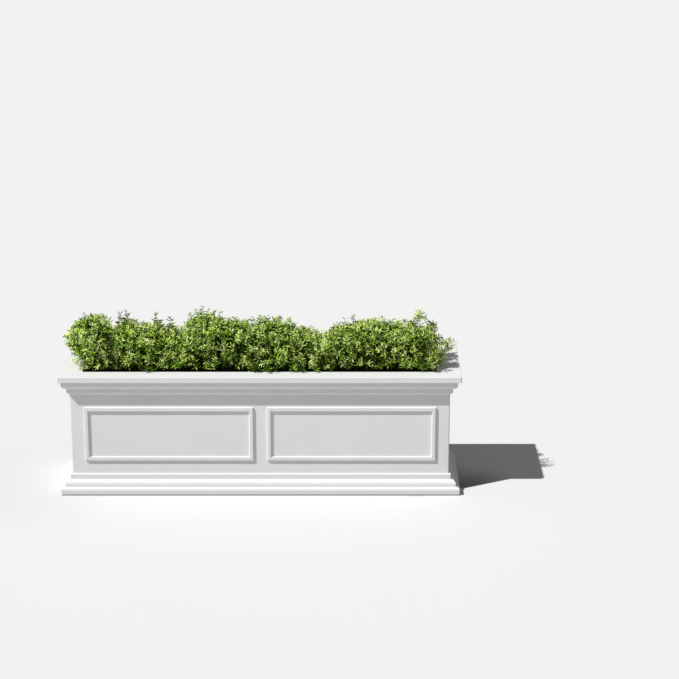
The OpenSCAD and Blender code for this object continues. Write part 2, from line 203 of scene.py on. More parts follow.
def latticeNoise(x, y, cell, seed):
    # smooth noise: random values on a lattice that repeats after 256 cells, blended between lattice
    # points with the curve 3t^2 - 2t^3
    period = 256
    table = np.random.default_rng(seed).random((period + 1, period + 1))
    gx, gy = x / cell, y / cell
    ix, iy = np.floor(gx).astype(int), np.floor(gy).astype(int)
    tx, ty = gx - ix, gy - iy
    tx, ty = tx * tx * (3 - 2 * tx), ty * ty * (3 - 2 * ty)
    ix, iy, nextX, nextY = ix % period, iy % period, (ix + 1) % period, (iy + 1) % period
    low = table[ix, iy] * (1 - tx) + table[nextX, iy] * tx
    high = table[ix, nextY] * (1 - tx) + table[nextX, nextY] * tx
    return low * (1 - ty) + high * ty


# studio: one soft key from the upper left in front, and a weak sky that is seen as a pale backdrop
studio = {
    "keyTravel": (0.720, 0.402, -1.0),    # the way its light goes
    "keyStrength": 4.18,
    "keyAngle": 0.8,          # degrees across, for the soft edge of the shadows
    "skyLight": 0.187,
    "backdrop": 0.888,
}

sunData = bpy.data.lights.new("key", "SUN")
sunData.energy = studio["keyStrength"]
sunData.angle = math.radians(studio["keyAngle"])
key = bpy.data.objects.new("key", sunData)
travel = np.array(studio["keyTravel"])
travel = travel / np.linalg.norm(travel)
key.rotation_euler = (math.acos(-travel[2]), 0, math.atan2(travel[1], travel[0]) - math.pi / 2)
scene.collection.objects.link(key)

world = bpy.data.worlds.new("sky")
scene.world = world
world.use_nodes = True
skyTree = world.node_tree
skyTree.nodes.clear()
white, black = (1, 1, 1, 1), (0, 0, 0, 1)
light = addNode(skyTree, "ShaderNodeBackground", {"Color": white, "Strength": studio["skyLight"]})
back = addNode(skyTree, "ShaderNodeBackground", {"Color": white, "Strength": studio["backdrop"]})
both = addNode(skyTree, "ShaderNodeMixShader",
               {0: seenDirectly(skyTree), 1: light.outputs[0], 2: back.outputs[0]})
addNode(skyTree, "ShaderNodeOutputWorld", {"Surface": both.outputs[0]})


# floor: pale paper that throws light up at the box, with painted shade in two places on the
# colour that is seen
paper = {
    "radius": 30.0, "sectors": 48,
    "color": (0.733, 0.733, 0.735), "grainScale": 3.0, "grainShade": 0.997,
    "roughness": 0.95, "specular": 0.0,
    # painted shade: a shade greyer beside the box's sunlit end, against the light that end throws
    # on it
    "glowPlace": (-0.56, -0.02, 0.0), "glowReach": 0.42, "glowShare": 0.09,
    # and painted shadow: darker in the nook at the foot of the shaded end, up to the line that the
    # shadow starts at
    "nookPlace": (0.475, -0.075, 0.0), "nookReach": 0.17, "nookShare": 0.62,
    "nookLine": (-0.558, 1.0, 0.0), "nookEdge": (-0.338, -0.326),
    # what it throws back on the box: less close to it, and little from beyond the right end
    "bounce": (0.5, 0.77), "bounceReach": (-0.12, -0.85),
    "bounceRight": 0.08, "rightLine": (1.0, 1.5, 0.0), "rightEdge": (0.30, 0.42),
}


def makePaper():
    # seen directly, the colour less its share near the two places, which is painted shade: a share
    # falls along an S from its place to its reach, and the nook's counts only beyond its line; for
    # other light, a grey that goes from the first bounce to the second with the distance in front,
    # times bounceRight beyond the right line
    mat, tree, shader, spot = startMaterial("studioPaper")
    grain = addNoise(tree, spot, paper["grainScale"], 4.0)
    shaded = [c * paper["grainShade"] for c in paper["color"]]
    tone = addRamp(tree, grain, [(0.3, shaded), (0.7, paper["color"])])
    # painted shade beside the sunlit end
    glow = addRange(tree, measure(tree, "DISTANCE", spot, paper["glowPlace"]),
                    (paper["glowReach"], 0.0), (0.0, paper["glowShare"]), "SMOOTHSTEP")
    tone = mixColors(tree, glow, tone, black)
    # painted shadow in the nook at the foot of the shaded end
    nook = addRange(tree, measure(tree, "DISTANCE", spot, paper["nookPlace"]),
                    (paper["nookReach"], 0.0), (0.0, paper["nookShare"]), "SMOOTHSTEP")
    beyond = addRange(tree, measure(tree, "DOT_PRODUCT", spot, paper["nookLine"]),
                      paper["nookEdge"])
    tone = mixColors(tree, addMath(tree, "MULTIPLY", nook, beyond), tone, black)
    inFront = addNode(tree, "ShaderNodeSeparateXYZ", {0: spot}).outputs["Y"]
    thrown = addRange(tree, inFront, paper["bounceReach"], paper["bounce"])
    aside = addRange(tree, measure(tree, "DOT_PRODUCT", spot, paper["rightLine"]),
                     paper["rightEdge"], (1.0, paper["bounceRight"]))
    thrown = addMath(tree, "MULTIPLY", thrown, aside)
    tone = mixColors(tree, seenDirectly(tree), thrown, tone)
    tree.links.new(tone, shader.inputs["Base Color"])
    shader.inputs["Roughness"].default_value = paper["roughness"]
    shader.inputs["Specular IOR Level"].default_value = paper["specular"]
    return mat


def makeFloor():
    # a flat disc: points at equal angles on a circle, each joined to the next and to the middle
    count = paper["sectors"]
    k = np.arange(count)
    angle = k * 2 * np.pi / count
    ring = np.stack([np.cos(angle), np.sin(angle), 0 * angle], 1) * paper["radius"]
    points = np.vstack([ring, [[0, 0, 0]]])
    floor = makeMesh("studioFloor", points, np.stack([k, (k + 1) % count, k * 0 + count], 1))
    coat(floor, makePaper())


makeFloor()
print("planter: camera, key, sky and floor set")


# painted boards: satin white paint over planed board, with a faint grain, brush marks, the fine
# skin that a roller leaves and a little dust low down
paint = {
    "color": (0.742, 0.742, 0.742), "warm": (0.733, 0.732, 0.728), "cloudScale": 9.0,
    "grainScale": 260.0, "grainShade": (0.985, 0.985, 0.983), "brushScale": 900.0,
    "grainLength": 0.05,      # the share of these two scales that is left along the board
    "skinScale": 700.0,
    "dust": (0.70, 0.685, 0.65), "dustShare": 0.16, "dustTop": 0.05, "speckScale": 55.0,
    "roughness": 0.55, "roughSpread": (-0.06, 0.08), "specular": 0.12,
    "bump": 0.12, "bumpHeight": 0.0004,
}


def makePaint(name, along):
    # the grain is noise stretched along the board's own direction; dust is specks times a share
    # that falls in a straight line from the ground to dustTop; the bump is the sum of three noises
    mat, tree, shader, spot = startMaterial(name)
    squeeze = [paint["grainLength"] if side == along else 1 for side in "XYZ"]
    turned = addNode(tree, "ShaderNodeMapping", {"Vector": spot, "Scale": squeeze}).outputs[0]
    grain = addNoise(tree, turned, paint["grainScale"], 5.0, 0.6)
    brush = addNoise(tree, turned, paint["brushScale"], 2.0)
    skin = addNoise(tree, spot, paint["skinScale"], 2.0)
    cloud = addNoise(tree, spot, paint["cloudScale"], 3.0)
    tone = addRamp(tree, cloud, [(0.35, paint["warm"]), (0.65, paint["color"])])
    shade = addRamp(tree, grain, [(0.3, paint["grainShade"]), (0.6, (1, 1, 1))])
    tone = mixColors(tree, 1.0, tone, shade, "MULTIPLY")
    height = addNode(tree, "ShaderNodeSeparateXYZ", {0: spot}).outputs["Z"]
    low = addRange(tree, height, (0.0, paint["dustTop"]), (paint["dustShare"], 0.0))
    low = addMath(tree, "MULTIPLY", low, addNoise(tree, spot, paint["speckScale"], 6.0))
    tone = mixColors(tree, low, tone, (*paint["dust"], 1))
    tree.links.new(tone, shader.inputs["Base Color"])
    ends = [paint["roughness"] + step for step in paint["roughSpread"]]
    rough = addRange(tree, cloud, (0.0, 1.0), ends)
    tree.links.new(rough, shader.inputs["Roughness"])
    ridge = addMath(tree, "ADD", addMath(tree, "ADD", grain, brush), skin)
    addBump(tree, shader, ridge, paint["bump"], paint["bumpHeight"])
    shader.inputs["Specular IOR Level"].default_value = paint["specular"]
    return mat


paintX, paintY, paintZ = [makePaint("paintAlong" + side, side) for side in "XYZ"]
slotOf = {part["node"]: part["material_slot"] for part in frame["record"]["subparts"]}
for name, node in nodes.items():
    if slotOf[name] != "painted_board":
        continue
    # posts stand, floor slats and end boards lie across, and the other boards lie along the box
    if name.startswith("post_"):
        coat(node, paintZ)
    elif name.startswith("floor_slat"):
        coat(node, paintY)
    elif name.endswith(("_left", "_right")) and not name.startswith("frame_"):
        coat(node, paintY)
    else:
        coat(node, paintX)


# liner, stoppers and pads: moulded black plastic and rubber with a fine matt grain
moulded = {
    "linerSkin": {"nodes": ["liner"], "color": (0.022, 0.022, 0.023),
                  "roughness": 0.55, "bump": 0.25, "grain": 900.0},
    "stopperSkin": {"nodes": ["stopper_left", "stopper_right"], "color": (0.09, 0.09, 0.088),
                    "roughness": 0.7, "bump": 0.3, "grain": 1400.0},
    "padSkin": {"nodes": ["foot_pads"], "color": (0.03, 0.03, 0.03),
                "roughness": 0.85, "bump": 0.4, "grain": 1200.0},
}
# the dust that lies on all of them, in clouds
film = {
    "scale": 24.0, "start": 0.45, "full": 0.8, "times": 1.8, "plus": 0.01,
    "roughSpread": (-0.08, 0.1), "bumpHeight": 0.0003,
}


def makeSkin(name, skin):
    # the skin's colour c where the dust noise is low, and times c + plus where it is high
    mat, tree, shader, spot = startMaterial(name)
    grain = addNoise(tree, spot, skin["grain"], 3.0)
    dust = addNoise(tree, spot, film["scale"], 6.0)
    dusty = [c * film["times"] + film["plus"] for c in skin["color"]]
    tone = addRamp(tree, dust, [(film["start"], skin["color"]), (film["full"], dusty)])
    tree.links.new(tone, shader.inputs["Base Color"])
    addBump(tree, shader, grain, skin["bump"], film["bumpHeight"])
    ends = [skin["roughness"] + step for step in film["roughSpread"]]
    rough = addRange(tree, dust, (0.0, 1.0), ends)
    tree.links.new(rough, shader.inputs["Roughness"])
    return mat


for name, skin in moulded.items():
    mat = makeSkin(name, skin)
    for part in skin["nodes"]:
        coat(nodes[part], mat)


# screws: zinc-plated steel, finely brushed
steel = {
    "dark": (0.48, 0.48, 0.47), "light": (0.68, 0.68, 0.66), "scratchScale": 1800.0,
    "roughness": (0.3, 0.5),
}


def makeSteel():
    # one fine noise takes the colour from dark to light and the roughness from low to high
    mat, tree, shader, spot = startMaterial("zincSteel")
    scratch = addNoise(tree, spot, steel["scratchScale"], 4.0)
    tone = addRamp(tree, scratch, [(0.3, steel["dark"]), (0.7, steel["light"])])
    tree.links.new(tone, shader.inputs["Base Color"])
    shader.inputs["Metallic"].default_value = 1.0
    rough = addRange(tree, scratch, (0.0, 1.0), steel["roughness"])
    tree.links.new(rough, shader.inputs["Roughness"])
    return mat


coat(nodes["cleat_screws"], makeSteel())
print("planter: paint, plastic, rubber and steel set")


# soil: a bed with a rough top, and loose crumbs on it; lengths in millimetres
earth = {
    "cornerRadius": 8.7, "cornerPoints": 9, "around": 420,
    "underShare": 0.05, "shoulder": 4.0, "topRings": 26, "topShares": (0.985, 0.02),
    "hills": [(22, 3, 0.5), (7, 4, 0.3), (3, 5, 0.2)],    # cell, seed and share of each noise
    "hillHeight": 4.5, "hillLevel": 0.75,
    "tones": [(0.3, (0.012, 0.009, 0.007)), (0.55, (0.035, 0.025, 0.018)),
              (0.8, (0.085, 0.06, 0.04))],
    "clodScale": 130.0, "bump": 0.8, "bumpHeight": 0.002, "roughness": 0.95, "specular": 0.2,
}
crumb = {
    "count": 900, "seed": 17, "size": (1.2, 4.2), "squash": (0.6, 1.0), "lumps": (0.75, 1.15),
    "inset": (6, 5), "sunk": 0.6, "scatter": 0.6, "neighbours": 1.2, "barkShare": 0.75,
    "barks": [(0.0, (0.02, 0.014, 0.01)), (0.6, (0.07, 0.045, 0.028)),
              (0.9, (0.11, 0.075, 0.05)), (0.97, (0.5, 0.48, 0.44))],
}


def roundedOutline(halfX, halfY, radius, count):
    # a quarter circle round each corner's middle, joined by straight lines, then count points at
    # equal lengths along it
    arc = np.linspace(0, np.pi / 2, earth["cornerPoints"])
    parts = []
    for quarter, (sx, sy) in enumerate(((1, 1), (-1, 1), (-1, -1), (1, -1))):
        a = arc + quarter * np.pi / 2
        parts.append(np.stack([sx * (halfX - radius) + radius * np.cos(a),
                               sy * (halfY - radius) + radius * np.sin(a)], 1))
    loop = np.vstack(parts + [parts[0][:1]])
    run = np.concatenate([[0], np.cumsum(np.linalg.norm(np.diff(loop, axis=0), axis=1))])
    at = np.linspace(0, run[-1], count, endpoint=False)
    return np.stack([np.interp(at, run, loop[:, 0]), np.interp(at, run, loop[:, 1])], 1)


def makeSoil():
    # a ring is spine + share (edge - spine), where the spine is the long middle line: the shares
    # run from the middle of the underside out to the edge, up it, and in again over the top, which
    # stands hillHeight (noise - hillLevel) above its level
    low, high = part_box("soil")
    halfX, halfY = high.x / mm, high.y / mm
    count, topRings = earth["around"], earth["topRings"]
    edge = roundedOutline(halfX, halfY, earth["cornerRadius"], count)
    spine = np.stack([np.clip(edge[:, 0], -halfX + halfY, halfX - halfY), 0 * edge[:, 1]], 1)
    share = np.concatenate([[earth["underShare"], 1.0, 1.0],
                            np.linspace(*earth["topShares"], topRings)])
    base = np.concatenate([[low.z, low.z, high.z - earth["shoulder"] * mm],
                           np.full(topRings, high.z)]) / mm
    flat = spine[None] + (edge - spine)[None] * share[:, None, None]
    points = np.concatenate([flat, np.broadcast_to(base[:, None, None], flat.shape[:2] + (1,))], 2)
    x, y = flat[3:, :, 0], flat[3:, :, 1]
    hills = sum(latticeNoise(x, y, cell, seed) * part for cell, seed, part in earth["hills"])
    points[3:, :, 2] += (hills - earth["hillLevel"]) * earth["hillHeight"]
    rings = len(share)
    # the first and the last ring are closed with a strip across the middle line
    j = np.arange(1, count // 2)
    last = (rings - 1) * count
    strip = []
    for first, flip in ((0, True), (last, False)):
        a, b = first + j, first + count - j
        c, d = first + (j + 1) % count, first + (count - j - 1)
        two = np.vstack([np.stack([a, c, b], 1), np.stack([c, d, b], 1)])
        strip.append(two[:, ::-1] if flip else two)
    ends = np.array([[0, 1, count - 1]])
    faces = np.vstack([ringTriangles(rings, count)] + strip + [ends[:, ::-1], ends + last])
    a, b, c = faces.T
    piece = makeMesh("soilBed", points.reshape(-1, 3) * mm, faces[(a != b) & (b != c) & (a != c)])
    piece.data.polygons.foreach_set("use_smooth", np.ones(len(piece.data.polygons), bool))
    return piece, halfX, halfY, high.z / mm


def makeCrumbs(halfX, halfY, top):
    # a crumb is a twelve-cornered ball, each corner moved in or out at random, then squashed and
    # turned; a face joins three corners that are all neighbours, 1.05 apart on a ball of radius 1
    rng = np.random.default_rng(crumb["seed"])
    gold = (1 + 5 ** 0.5) / 2
    signs = [(s, t) for s in (-1, 1) for t in (-1, 1)]
    ball = np.array([(0, s, t * gold) for s, t in signs] + [(s, t * gold, 0) for s, t in signs]
                    + [(t * gold, 0, s) for s, t in signs]) / math.hypot(1, gold)
    corners = len(ball)
    near = np.linalg.norm(ball[:, None] - ball[None], axis=2) < crumb["neighbours"]
    tri = [(a, b, c) for a in range(corners) for b in range(a + 1, corners)
           for c in range(b + 1, corners) if near[a, b] and near[b, c] and near[a, c]]
    # a face that looks inwards is turned round
    tri = np.array([t if np.dot(np.cross(ball[t[1]] - ball[t[0]], ball[t[2]] - ball[t[0]]),
                                ball[t[0]]) > 0 else (t[0], t[2], t[1]) for t in tri])
    n = crumb["count"]
    size = rng.uniform(*crumb["size"], (n, 1, 1)) * rng.uniform(*crumb["squash"], (n, 1, 3)) / 2
    shape = ball[None] * rng.uniform(*crumb["lumps"], (n, corners, 1)) * size
    turn = rng.uniform(0, 2 * np.pi, n)
    c, s = np.cos(turn)[:, None], np.sin(turn)[:, None]
    x, y, z = shape[..., 0], shape[..., 1], shape[..., 2]
    shape = np.stack([x * c - y * s, x * s + y * c, z], 2)
    limitX, limitY = halfX - crumb["inset"][0], halfY - crumb["inset"][1]
    x, y = rng.uniform(-limitX, limitX, n), rng.uniform(-limitY, limitY, n)
    z = top - crumb["sunk"] + rng.uniform(-crumb["scatter"], crumb["scatter"], n)
    points = (shape + np.stack([x, y, z], 1)[:, None]).reshape(-1, 3)
    tint = np.repeat(rng.random(n), corners)
    return makeMesh("soilCrumbs", points * mm, copyFaces(tri, corners, n), {"crumbTint": tint})


def makeEarth(name, tinted):
    # brown that goes from dark to light with one noise; a crumb's own tint, from peat to bark to a
    # few pale grains, counts for barkShare of its colour
    mat, tree, shader, spot = startMaterial(name)
    clod = addNoise(tree, spot, earth["clodScale"], 8.0, 0.7)
    tone = addRamp(tree, clod, earth["tones"])
    if tinted:
        tint = addNode(tree, "ShaderNodeAttribute", attribute_name="crumbTint").outputs["Fac"]
        tone = mixColors(tree, crumb["barkShare"], tone, addRamp(tree, tint, crumb["barks"]))
    tree.links.new(tone, shader.inputs["Base Color"])
    addBump(tree, shader, clod, earth["bump"], earth["bumpHeight"])
    shader.inputs["Roughness"].default_value = earth["roughness"]
    shader.inputs["Specular IOR Level"].default_value = earth["specular"]
    return mat


soilBed, soilX, soilY, soilTop = makeSoil()
coat(soilBed, makeEarth("pottingSoil", False))
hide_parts("soil")
crumbs = makeCrumbs(soilX, soilY, soilTop)
coat(crumbs, makeEarth("soilCrumb", True))
for piece in (soilBed, crumbs):
    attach(piece, "planted_liner")
print("planter: soil bed and", crumb["count"], "crumbs made")


# leaf colours: the lower a leaf's tint is, the deeper its green; the palest stop is partly pale
# young tips and partly a painted highlight that stands in for the leaves' glints
leafTone = {
    "tones": [(0.28, (0.026, 0.088, 0.002)), (0.40, (0.45, 0.73, 0.05)),
              (0.53, (0.72, 0.97, 0.155)), (0.69, (0.87, 0.98, 0.47))],
    # what multiplies it: with a leaf's age, along it from its foot to its tip, and in flecks
    "byAge": [(0.0, (1.15, 1.1, 1.05)), (0.7, (0.85, 0.9, 0.85)), (1.0, (0.6, 0.66, 0.6))],
    "byPlace": [(0.0, (0.8, 0.85, 0.8)), (0.6, (1, 1, 1)), (1.0, (1.1, 1.05, 0.9))],
    "byFleck": [(0.3, (0.85, 0.88, 0.85)), (0.7, (1.1, 1.08, 1.05))], "fleckScale": 420.0,
    "stem": (0.08, 0.09, 0.02),
    "roughness": 0.3, "specular": 0.12, "bump": 0.3, "bumpHeight": 0.0004,
    # a tint is random, in part the leaf's own and in part its shoot's, times a factor on the
    # shoots inside, those that stand tall, and those at the ends: inside is partly older leaves and
    # partly painted shade deep in the hedge, and is put on the shoots over the rim too as painted
    # shade; tall is painted shade on the tall sprigs at the left, and aside is painted light, as of
    # sun through leaves, on the side sprigs and the tall sprigs at the right
    "ownShare": 0.6, "shootShare": 0.4, "inside": 0.5, "tall": 0.62, "aside": 1.2,
}


def makeLeafSkin():
    # the tone of the tint, times the three factors; on a stem, the stem's colour in its place
    mat, tree, shader, spot = startMaterial("leafSkin")
    read = {name: addNode(tree, "ShaderNodeAttribute", attribute_name=name).outputs["Fac"]
            for name in ("leafTint", "leafAge", "leafAlong", "stemShare")}
    vein = addNoise(tree, spot, leafTone["fleckScale"], 3.0)
    tone = addRamp(tree, read["leafTint"], leafTone["tones"])
    factors = ((read["leafAge"], "byAge"), (read["leafAlong"], "byPlace"), (vein, "byFleck"))
    for fac, stops in factors:
        tone = mixColors(tree, 1.0, tone, addRamp(tree, fac, leafTone[stops]), "MULTIPLY")
    tone = mixColors(tree, read["stemShare"], tone, (*leafTone["stem"], 1))
    tree.links.new(tone, shader.inputs["Base Color"])
    addBump(tree, shader, vein, leafTone["bump"], leafTone["bumpHeight"])
    shader.inputs["Roughness"].default_value = leafTone["roughness"]
    shader.inputs["Specular IOR Level"].default_value = leafTone["specular"]
    return mat


# hedge: seven plants side by side, in millimetres; their shoots end at one outline
hedge = {
    # the outline's height along the length, and each end's reach at a few heights
    "crest": [(-452, 366), (-440, 374), (-424, 379), (-408, 391), (-392, 398), (-382, 401),
              (-370, 389), (-350, 377), (-336, 372), (-325, 380), (-313, 387), (-298, 386),
              (-286, 378), (-274, 381), (-264, 371), (-248, 378), (-237, 386), (-226, 376),
              (-216, 368), (-206, 377), (-196, 364), (-184, 364), (-172, 376), (-160, 385),
              (-146, 395), (-132, 401), (-116, 399), (-98, 397), (-84, 399), (-68, 389), (-50, 383),
              (-36, 380), (-20, 385), (0, 388), (24, 390), (50, 386), (70, 389), (82, 373),
              (98, 367), (116, 364), (130, 350), (144, 358), (160, 372), (176, 381), (196, 384),
              (214, 392), (236, 393), (258, 394), (276, 390), (298, 384), (314, 380), (330, 382),
              (352, 384), (368, 384), (380, 381), (394, 377), (406, 372), (416, 362), (428, 346),
              (440, 341), (452, 337)],
    "leftEdge": [(284, -403), (299, -422), (316, -417), (330, -430), (349, -444), (366, -450),
                 (376, -438), (391, -408)],
    "rightEdge": [(284, 400), (296, 410), (310, 423), (325, 432), (340, 434), (352, 428),
                  (364, 427), (378, 420)],
    "halfLength": 450.0, "halfDepth": 77.0, "foot": 290.0,
    "archPower": 3.2, "archSteps": 721, "archTall": 100.0,    # its section, and how high unrolled
    "spacing": 15.5,                                          # of the shoots, each way
    "innerShare": 0.85, "innerDepth": 14.0,                   # a second layer of them inside
    "tipBack": 2.0, "endBack": 5.0,                           # room for the leaves at the tips
    "endTop": 4.0, "endDepth": 0.94, "endBow": 0.10, "endTurn": (0.3, 0.2),
    "sprigs": 0.25, "sprigDepth": (0.0, 4.0),                 # the share that reaches the outline
    "bushDepth": (2.0, 13.0),                                 # and how deep the others stay
    "moundCell": 34.0, "moundSeed": 8, "moundLevel": 0.55, "moundDepth": 22.0,
    "moundShift": (600, 300), "moundSlant": 0.8,
}


def archTable(power):
    # the hedge's section is a superellipse from the front foot over the top to the back foot: the
    # cosine and the sine of the angle, each to the power 2 / power, with its sign
    theta = np.linspace(0, np.pi, hedge["archSteps"])
    across = -np.sign(np.cos(theta)) * np.abs(np.cos(theta)) ** (2 / power)
    up = np.abs(np.sin(theta)) ** (2 / power)
    return across, up


def looseGrid(rng, columns, rows):
    # one place in each cell of a grid, at random in it, counted in cells
    i, j = np.meshgrid(np.arange(columns), np.arange(rows), indexing="ij")
    return (i + rng.uniform(0, 1, i.shape)).ravel(), (j + rng.uniform(0, 1, j.shape)).ravel()


def tipPoints(rng, spacing, inset):
    # shoot tips on a loose grid over the unrolled hedge, along the length and along the arch by its
    # length; z = foot + (crest - foot) times the arch's height, and then each tip goes in along its
    # normal by its own depth
    crest, left, right = [np.array(hedge[key], float) for key in ("crest", "leftEdge", "rightEdge")]
    across, up = archTable(hedge["archPower"])
    tall, deep, foot, half = (hedge[key] for key in ("archTall", "halfDepth", "foot", "halfLength"))
    run = np.concatenate([[0], np.cumsum(np.hypot(np.diff(across) * deep, np.diff(up) * tall))])
    columns, rows = int(2 * half / spacing), int(run[-1] / spacing)
    i, j = looseGrid(rng, columns, rows)
    x, s = -half + 2 * half * i / columns, run[-1] * j / rows
    top = np.interp(x, crest[:, 0], crest[:, 1]) - hedge["tipBack"]
    steps = np.arange(hedge["archSteps"])
    arch = np.interp(s, run, steps)
    a, u = np.interp(arch, steps, across), np.interp(arch, steps, up)
    da, du = np.gradient(across * deep), np.gradient(up * tall)
    ny, nz = -np.interp(arch, steps, du), np.interp(arch, steps, da)
    z = foot + (top - foot) * u
    xLow = np.interp(z, left[:, 0], left[:, 1]) + hedge["endBack"]
    xHigh = np.interp(z, right[:, 0], right[:, 1]) - hedge["endBack"]
    keep = (x > xLow) & (x < xHigh)
    tip = np.stack([x, a * deep, z], 1)[keep]
    normal = unit(np.stack([0 * x, ny, nz], 1))[keep]
    # the two ends: a loose grid over depth and height, pushed out to the end's own outline and in
    # again by endBow times the cube of the depth towards front and back
    reach = deep * hedge["endDepth"]
    for side, edge in ((-1, left), (1, right)):
        rise = edge[-1, 0] - hedge["endTop"] - foot
        columns, rows = int(2 * reach / spacing), int(rise / spacing) + 1
        i, j = looseGrid(rng, columns, rows)
        ey, ez = -reach + 2 * reach * i / columns, foot + rise * j / rows
        bow = 1 - hedge["endBow"] * np.abs(ey / deep) ** 3
        ex = np.interp(ez, edge[:, 0], edge[:, 1]) * bow - side * hedge["endBack"]
        turnY, turnZ = hedge["endTurn"]
        tip = np.vstack([tip, np.stack([ex, ey, ez], 1)])
        normal = np.vstack([normal, unit(np.stack([side + 0 * ex, ey / deep * turnY,
                                                   turnZ + 0 * ex], 1))])
    # most tips lie inside the outline, deeper where the noise makes a hollow between two mounds,
    # and a few reach it
    shiftX, shiftZ = hedge["moundShift"]
    noise = latticeNoise(tip[:, 0] + shiftX, tip[:, 1] * hedge["moundSlant"] + tip[:, 2] + shiftZ,
                         hedge["moundCell"], hedge["moundSeed"])
    hollow = np.clip(hedge["moundLevel"] - noise, 0, 1) / hedge["moundLevel"] * hedge["moundDepth"]
    sprig = rng.random(len(tip)) < hedge["sprigs"]
    depth = np.where(sprig, rng.uniform(*hedge["sprigDepth"], len(tip)),
                     rng.uniform(*hedge["bushDepth"], len(tip)) + hollow)
    return tip - normal * (depth + inset)[:, None], normal, sprig


# shoots: how they head and where they root, and those that stand outside the outline
shoot = {
    "seed": 41, "outward": 0.9, "lift": (0.0, 0.8), "wander": 0.4,
    "rootShare": (0.94, 0.62), "rootSpread": (9, 8), "rootInset": (12, 8), "rootDepth": 3,
    "kneeShare": 0.45, "kneeLimit": (390, 62, 292),
    "thinEnd": (362, 408, 0.05), "thinFrom": -52,    # behind its front, the right end thins out
    "tallSprigs": [(366, -4, 413), (358, 6, 405), (372, 3, 402), (-322, 2, 400), (-309, 4, 405),
                   (-299, -4, 401), (-238, 0, 402), (-206, -3, 391), (-160, 3, 397),
                   (-147, -2, 408), (-134, 4, 413), (-122, -4, 409), (-108, 0, 405),
                   (-92, 4, 401)],
    "tallHeading": (0, 0, 1.0), "tallWander": 0.2,
    "sideSprigs": [(446, -47, 340), (440, -30, 345), (437, -57, 336), (434, -12, 342),
                   (431, -62, 350), (408, -86, 306), (401, -90, 312), (412, -82, 319),
                   (405, -88, 324), (398, -87, 302), (-447, -30, 355), (-448, -10, 350),
                   (-443, -50, 345), (-436, -40, 370), (-425, -60, 308), (-420, -64, 299)],
    "sideHeading": (1, 0, 0.2), "sideWander": 0.15,
    # where a few hang over the rim in front: the middle and the number of each group
    "overRim": [(-252, 3), (-12, 4), (38, 5), (92, 4), (140, 3), (392, 3)],
    "rimSpread": 14, "rimY": (-93, -75), "rimZ": (287, 296),
    "rimHeading": (0, -1.0, -0.1), "rimWander": 0.3,
}
hanging = sum(count for _, count in shoot["overRim"])


def growShoots():
    # heading = outward normal + lift up + wander, root = rootShare tip + spread on the soil, and
    # knee, the middle point of the curve between them, = tip - kneeShare span heading
    rng = np.random.default_rng(shoot["seed"])
    outer, outerN, sprig = tipPoints(rng, hedge["spacing"], 0.0)
    inner, innerN, _ = tipPoints(rng, hedge["spacing"] / hedge["innerShare"] ** 0.5,
                                 hedge["innerDepth"])
    tip, normal = np.vstack([outer, inner]), np.vstack([outerN, innerN])
    sprig = np.concatenate([sprig, np.zeros(len(inner), bool)])
    inside = np.arange(len(tip)) >= len(outer)
    start, end, share = shoot["thinEnd"]
    thinned = np.interp(tip[:, 0], [start, end], [1, share])
    stay = rng.random(len(tip)) < np.where(tip[:, 1] > shoot["thinFrom"], thinned, 1)
    tip, normal, sprig, inside = tip[stay], normal[stay], sprig[stay], inside[stay]
    up = np.array([0, 0, 1.0])
    heading = unit(normal * shoot["outward"] + up * rng.uniform(*shoot["lift"], (len(tip), 1))
                   + rng.normal(0, shoot["wander"], tip.shape))
    # paintedLightAndShade is the factor on a shoot's tint: darker inside, partly older leaves and
    # partly painted shade
    paintedLightAndShade = np.where(inside & (tip[:, 0] < start), leafTone["inside"], 1.0)
    # single sprigs above the rest and past the ends, and the shoots that hang over the rim
    tall, aside = np.array(shoot["tallSprigs"], float), np.array(shoot["sideSprigs"], float)
    tips, headings = [tip, tall, aside], [heading]
    headings.append(unit(np.array(shoot["tallHeading"])
                         + rng.normal(0, shoot["tallWander"], tall.shape)))
    headings.append(unit(np.sign(aside) * shoot["sideHeading"]
                         + rng.normal(0, shoot["sideWander"], aside.shape)))
    for x, count in shoot["overRim"]:
        tips.append(np.stack([rng.normal(x, shoot["rimSpread"], count),
                              rng.uniform(*shoot["rimY"], count),
                              rng.uniform(*shoot["rimZ"], count)], 1))
        headings.append(unit(np.array(shoot["rimHeading"])
                             + rng.normal(0, shoot["rimWander"], (count, 3))))
    tip, heading = np.vstack(tips), np.vstack(headings)
    sprig = np.concatenate([sprig, np.ones(len(tip) - len(sprig), bool)])
    # painted shade on the tall sprigs at the left and on the shoots that hang over the rim, and
    # painted light on the tall sprigs at the right and on the side sprigs
    paintedLightAndShade = np.concatenate([paintedLightAndShade, np.where(tall[:, 0] < 0, leafTone["tall"], leafTone["aside"]),
                             np.full(len(aside), leafTone["aside"]),
                             np.full(hanging, leafTone["inside"])])
    root = np.full(tip.shape, soilTop - shoot["rootDepth"])
    for axis, half in enumerate((soilX, soilY)):
        limit = half - shoot["rootInset"][axis]
        spread = rng.normal(0, shoot["rootSpread"][axis], len(tip))
        root[:, axis] = np.clip(tip[:, axis] * shoot["rootShare"][axis] + spread, -limit, limit)
    # the knee stays over the opening, so that no stem shows outside the leaves
    span = np.linalg.norm(tip - root, axis=1)
    knee = tip - heading * span[:, None] * shoot["kneeShare"]
    limitX, limitY, lowest = shoot["kneeLimit"]
    knee = np.stack([np.clip(knee[:, 0], -limitX, limitX), np.clip(knee[:, 1], -limitY, limitY),
                     np.maximum(knee[:, 2], lowest)], 1)
    return root, knee, tip, sprig, paintedLightAndShade, rng


def bezier(root, knee, tip, t):
    # (1-t)^2 root + 2t(1-t) knee + t^2 tip
    t = t[..., None]
    return (1 - t) ** 2 * root + 2 * t * (1 - t) * knee + t ** 2 * tip


